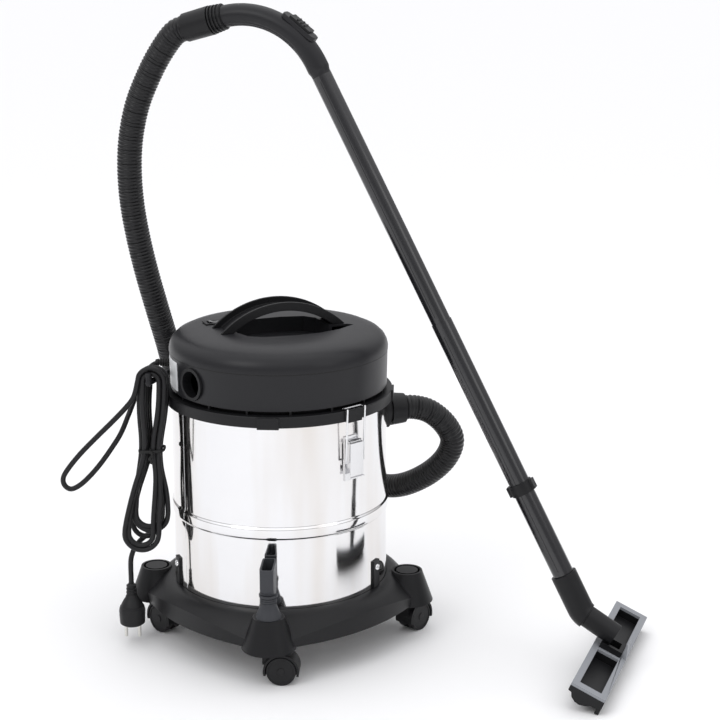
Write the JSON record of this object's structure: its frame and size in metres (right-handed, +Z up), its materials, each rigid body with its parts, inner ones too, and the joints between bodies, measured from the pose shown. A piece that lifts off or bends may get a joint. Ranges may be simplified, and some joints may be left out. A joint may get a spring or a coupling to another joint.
{
  "type": "wet and dry shop vacuum",
  "caption": "Polished steel drum vacuum on a caster trolley with a lift-off motor head, side hose, bent hand tube, wand and wide floor nozzle.",
  "frame": {"origin": "on the floor, at the middle of the bounding box of everything but the hose and the mains cord", "axes": "+Z up; -Y towards the front, where the small nozzle is stored; +X towards the side with the inlet and the wand"},
  "size_m": [0.8118, 0.4905, 0.8855],
  "materials": {
    "drum_steel": "polished",
    "bright_steel": "polished",
    "black_plastic": "satin",
    "charcoal_plastic": "satin",
    "dark_grey_plastic": "satin",
    "grey_plastic": "textured",
    "white_plastic": "satin",
    "gloss_black": "gloss",
    "wheel_black": "satin",
    "hose_black": "satin",
    "cord_black": "satin",
    "seal_rubber": "matt",
    "motor_alloy": "cast",
    "rotor_steel": "satin",
    "filter_cloth": "woven",
    "brush_fibre": "matt",
    "label": "satin",
    "pin_metal": "satin"
  },
  "bodies": {
    "machine": {"drum": "drum_steel", "inlet_socket": "black_plastic", "inlet_gasket": "seal_rubber", "inlet_deflector": "black_plastic", "latch_bracket_right": "bright_steel", "latch_bracket_left": "bright_steel", "base": "black_plastic", "base_screws": "bright_steel", "hose_connector": "black_plastic", "hose_tube": "hose_black", "hose_cuff": "black_plastic", "hand_tube": "charcoal_plastic", "wand_upper": "gloss_black", "wand_lower": "gloss_black", "wand_collar": "black_plastic", "nozzle_elbow": "black_plastic"},
    "head": {"rim_flange": "black_plastic", "head_seal": "seal_rubber", "lower_housing": "charcoal_plastic", "blower_collar": "black_plastic", "top_cover": "charcoal_plastic", "carry_handle": "black_plastic", "switch_bezel": "black_plastic", "motor_casing": "motor_alloy", "motor_bearings": "bright_steel", "float_cage": "charcoal_plastic", "filter_sleeve": "filter_cloth", "rating_plate": "label", "cord_gland": "seal_rubber", "cord_hook": "charcoal_plastic", "cord_lead": "cord_black", "cord_hank": "cord_black", "cord_tail": "cord_black", "cord_tie": "seal_rubber", "plug_body": "cord_black", "plug_pins": "pin_metal"},
    "rocker": {"switch_rocker": "gloss_black"},
    "rotor": {"motor_rotor": "rotor_steel"},
    "float": {"float_ball": "white_plastic"},
    "relief": {"relief_slider": "black_plastic"},
    "nozzle": {"nozzle_body": "black_plastic", "nozzle_frame": "grey_plastic", "nozzle_squeegee": "seal_rubber", "nozzle_brush": "brush_fibre"},
    "accessory": {"accessory_nozzle": "dark_grey_plastic"},
    "lever_right": {"latch_lever_right": "bright_steel"},
    "bail_right": {"latch_bail_right": "bright_steel"},
    "lever_left": {"latch_lever_left": "bright_steel"},
    "bail_left": {"latch_bail_left": "bright_steel"},
    "caster_front": {"caster_hood_front": "black_plastic"},
    "wheels_front": {"wheel_pair_front": "wheel_black"},
    "caster_right": {"caster_hood_right": "black_plastic"},
    "wheels_right": {"wheel_pair_right": "wheel_black"},
    "caster_back": {"caster_hood_back": "black_plastic"},
    "wheels_back": {"wheel_pair_back": "wheel_black"},
    "caster_left": {"caster_hood_left": "black_plastic"},
    "wheels_left": {"wheel_pair_left": "wheel_black"}
  },
  "joints": [
    {"name": "head_lift", "type": "slide", "parent": "machine", "child": "head", "axis": [0, 0, 1], "range_m": [0, 0.16]},
    {"name": "lever_swing_right", "type": "hinge", "parent": "machine", "child": "lever_right", "pos_m": [-0.04334, -0.08666, 0.318], "axis": [-0.7071, -0.7071, 0], "range_deg": [0, 115]},
    {"name": "bail_swing_right", "type": "hinge", "parent": "lever_right", "child": "bail_right", "pos_m": [-0.04228, -0.08772, 0.292], "axis": [-0.7071, -0.7071, 0], "range_deg": [-115, 0]},
    {"name": "lever_swing_left", "type": "hinge", "parent": "machine", "child": "lever_left", "pos_m": [-0.26466, 0.13466, 0.318], "axis": [0.7071, 0.7071, 0], "range_deg": [0, 115]},
    {"name": "bail_swing_left", "type": "hinge", "parent": "lever_left", "child": "bail_left", "pos_m": [-0.26572, 0.13572, 0.292], "axis": [0.7071, 0.7071, 0], "range_deg": [-115, 0]},
    {"name": "caster_swivel_front", "type": "hinge", "parent": "machine", "child": "caster_front", "pos_m": [-0.154, -0.156, 0.06], "axis": [0, 0, 1], "continuous": true},
    {"name": "wheel_spin_front", "type": "hinge", "parent": "caster_front", "child": "wheels_front", "pos_m": [-0.137, -0.156, 0.02], "axis": [0, 1, 0], "continuous": true},
    {"name": "caster_swivel_right", "type": "hinge", "parent": "machine", "child": "caster_right", "pos_m": [0.026, 0.024, 0.06], "axis": [0, 0, 1], "continuous": true},
    {"name": "wheel_spin_right", "type": "hinge", "parent": "caster_right", "child": "wheels_right", "pos_m": [0.03623, 0.03758, 0.02], "axis": [-0.7986, 0.6018, 0], "continuous": true},
    {"name": "caster_swivel_back", "type": "hinge", "parent": "machine", "child": "caster_back", "pos_m": [-0.154, 0.204, 0.06], "axis": [0, 0, 1], "continuous": true},
    {"name": "wheel_spin_back", "type": "hinge", "parent": "caster_back", "child": "wheels_back", "pos_m": [-0.15981, 0.21997, 0.02], "axis": [-0.9397, -0.342, 0], "continuous": true},
    {"name": "caster_swivel_left", "type": "hinge", "parent": "machine", "child": "caster_left", "pos_m": [-0.334, 0.024, 0.06], "axis": [0, 0, 1], "continuous": true},
    {"name": "wheel_spin_left", "type": "hinge", "parent": "caster_left", "child": "wheels_left", "pos_m": [-0.32117, 0.01285, 0.02], "axis": [0.6561, 0.7547, 0], "continuous": true},
    {"name": "switch_rock", "type": "hinge", "parent": "head", "child": "rocker", "pos_m": [-0.245, 0.035, 0.45], "axis": [-0.4226, 0.9063, 0], "range_deg": [-14, 0]},
    {"name": "rotor_spin", "type": "hinge", "parent": "head", "child": "rotor", "pos_m": [-0.154, 0.024, 0.38], "axis": [0, 0, 1], "continuous": true},
    {"name": "float_rise", "type": "slide", "parent": "head", "child": "float", "axis": [0, 0, 1], "range_m": [0, 0.06]},
    {"name": "relief_slide", "type": "slide", "parent": "machine", "child": "relief", "axis": [0.7563, -0.2212, -0.6157], "range_m": [0, 0.011]},
    {"name": "nozzle_swivel", "type": "hinge", "parent": "machine", "child": "nozzle", "pos_m": [0.27463, -0.08394, 0.074], "axis": [0.8312, -0.2431, -0.5], "range_deg": [-40, 40]},
    {"name": "accessory_lift", "type": "slide", "parent": "machine", "child": "accessory", "axis": [0, 0, 1], "range_m": [0, 0.08]}
  ],
  "couplings": [
    {"joint": "bail_swing_right", "follows": "lever_swing_right", "ratio": -1},
    {"joint": "bail_swing_left", "follows": "lever_swing_left", "ratio": -1}
  ]
}
